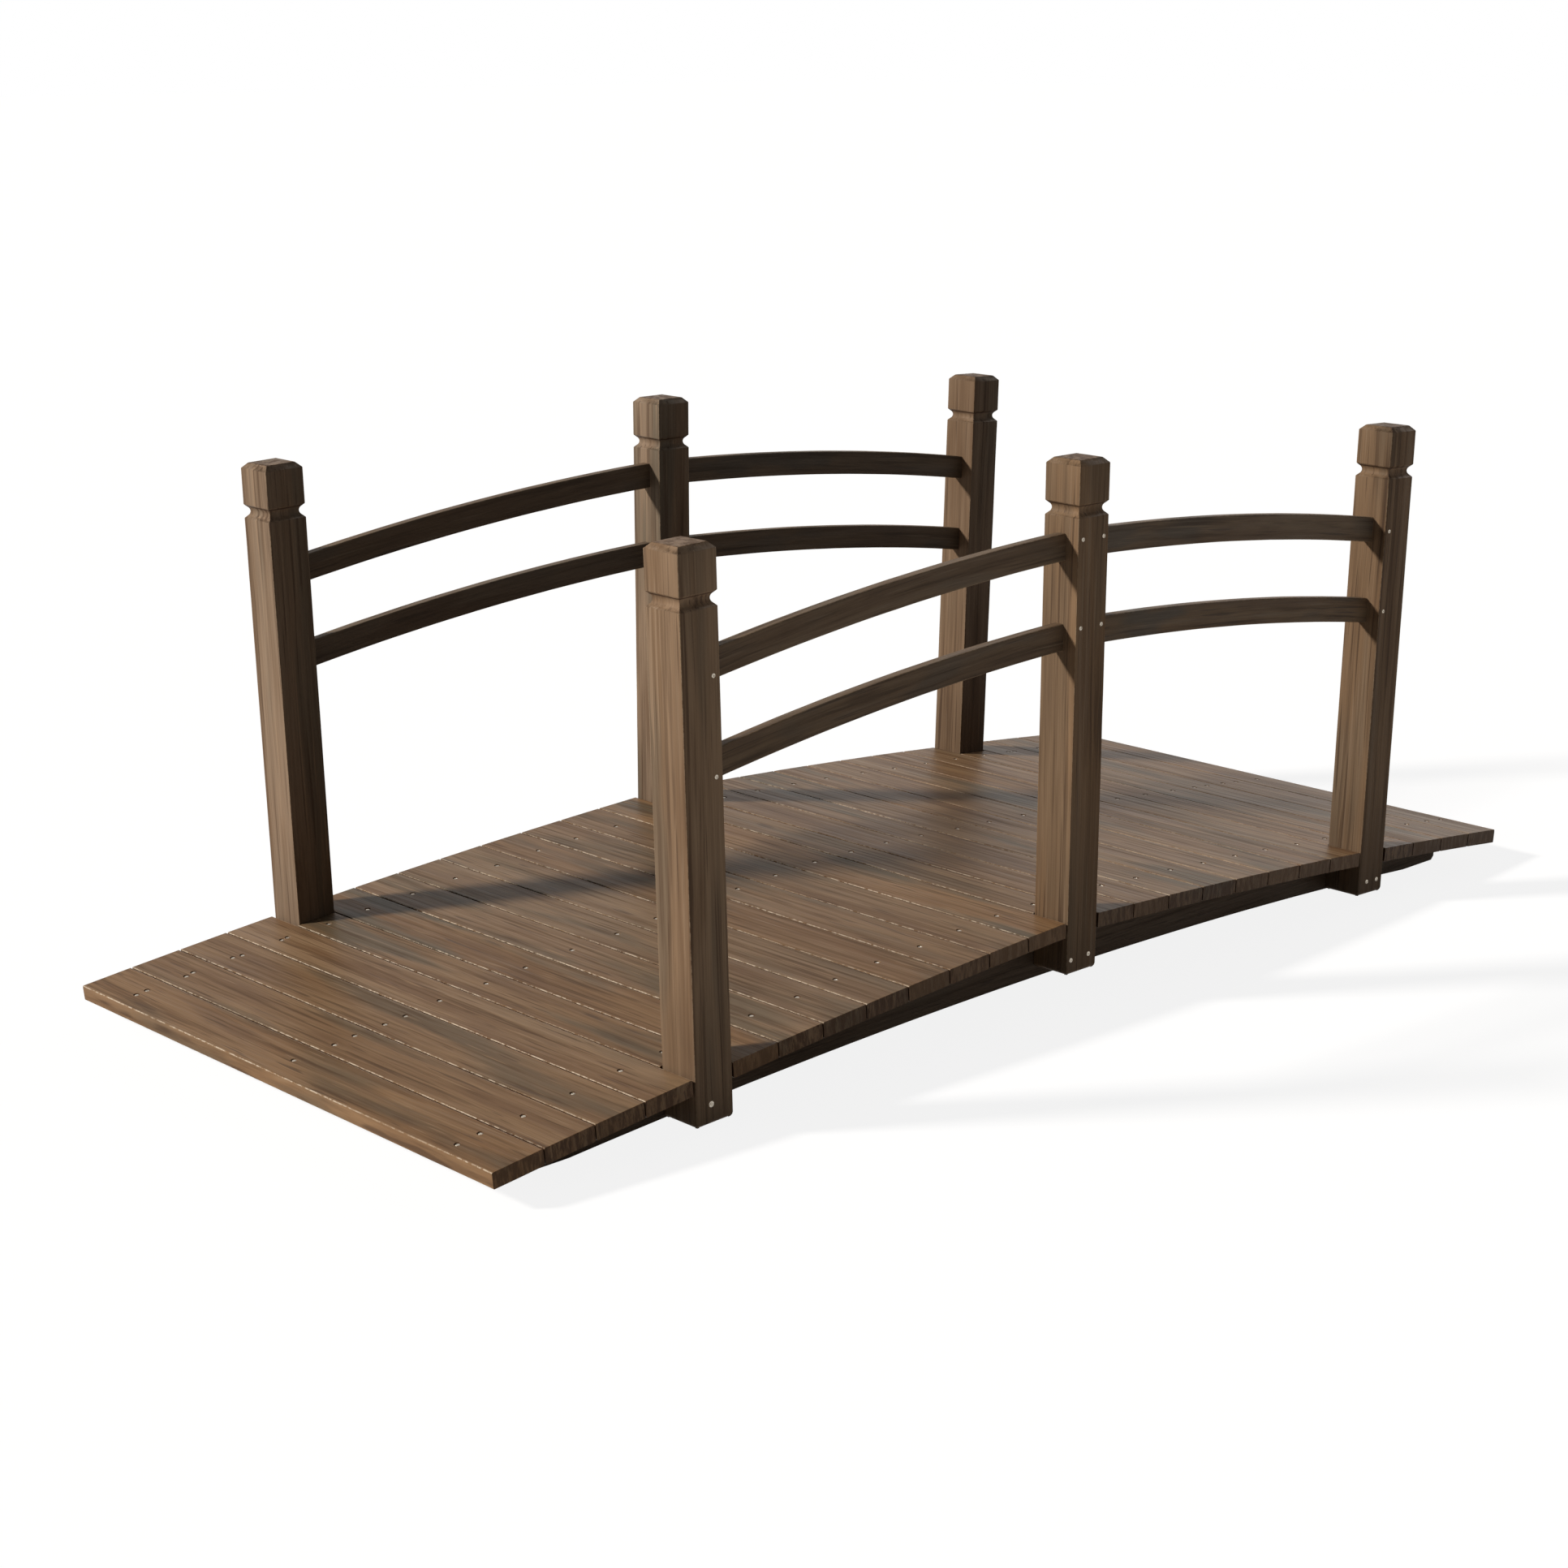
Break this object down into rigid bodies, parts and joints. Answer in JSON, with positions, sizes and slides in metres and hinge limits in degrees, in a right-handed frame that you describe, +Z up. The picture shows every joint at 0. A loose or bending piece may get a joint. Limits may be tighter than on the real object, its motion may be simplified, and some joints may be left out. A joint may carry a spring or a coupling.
{
  "type": "moon bridge",
  "caption": "Small stained wooden moon bridge for a garden, with an arched board deck, square posts and paired arched rails.",
  "frame": {"origin": "on the ground under the middle of the deck", "axes": "+X along the walkway, +Y across it towards the far railing, +Z up"},
  "size_m": [1.5142, 0.66, 0.5585],
  "materials": {
    "boards": "satin",
    "posts": "satin",
    "rails": "satin",
    "stringers": "satin",
    "screws": "satin"
  },
  "bodies": {
    "root": {"deck_board_01": "boards", "deck_board_02": "boards", "deck_board_03": "boards", "deck_board_04": "boards", "deck_board_05": "boards", "deck_board_06": "boards", "deck_board_07": "boards", "deck_board_08": "boards", "deck_board_09": "boards", "deck_board_10": "boards", "deck_board_11": "boards", "deck_board_12": "boards", "deck_board_13": "boards", "deck_board_14": "boards", "deck_board_15": "boards", "deck_board_16": "boards", "deck_board_17": "boards", "deck_board_18": "boards", "deck_board_19": "boards", "deck_board_20": "boards", "deck_board_21": "boards", "deck_board_22": "boards", "deck_board_23": "boards", "deck_board_24": "boards", "deck_board_25": "boards", "deck_board_26": "boards", "deck_board_27": "boards", "near_left_post": "posts", "near_middle_post": "posts", "near_right_post": "posts", "far_left_post": "posts", "far_middle_post": "posts", "far_right_post": "posts", "near_left_upper_rail": "rails", "near_left_lower_rail": "rails", "near_right_upper_rail": "rails", "near_right_lower_rail": "rails", "far_left_upper_rail": "rails", "far_left_lower_rail": "rails", "far_right_upper_rail": "rails", "far_right_lower_rail": "rails", "near_stringer": "stringers", "centre_stringer": "stringers", "far_stringer": "stringers"}
  },
  "joints": []
}
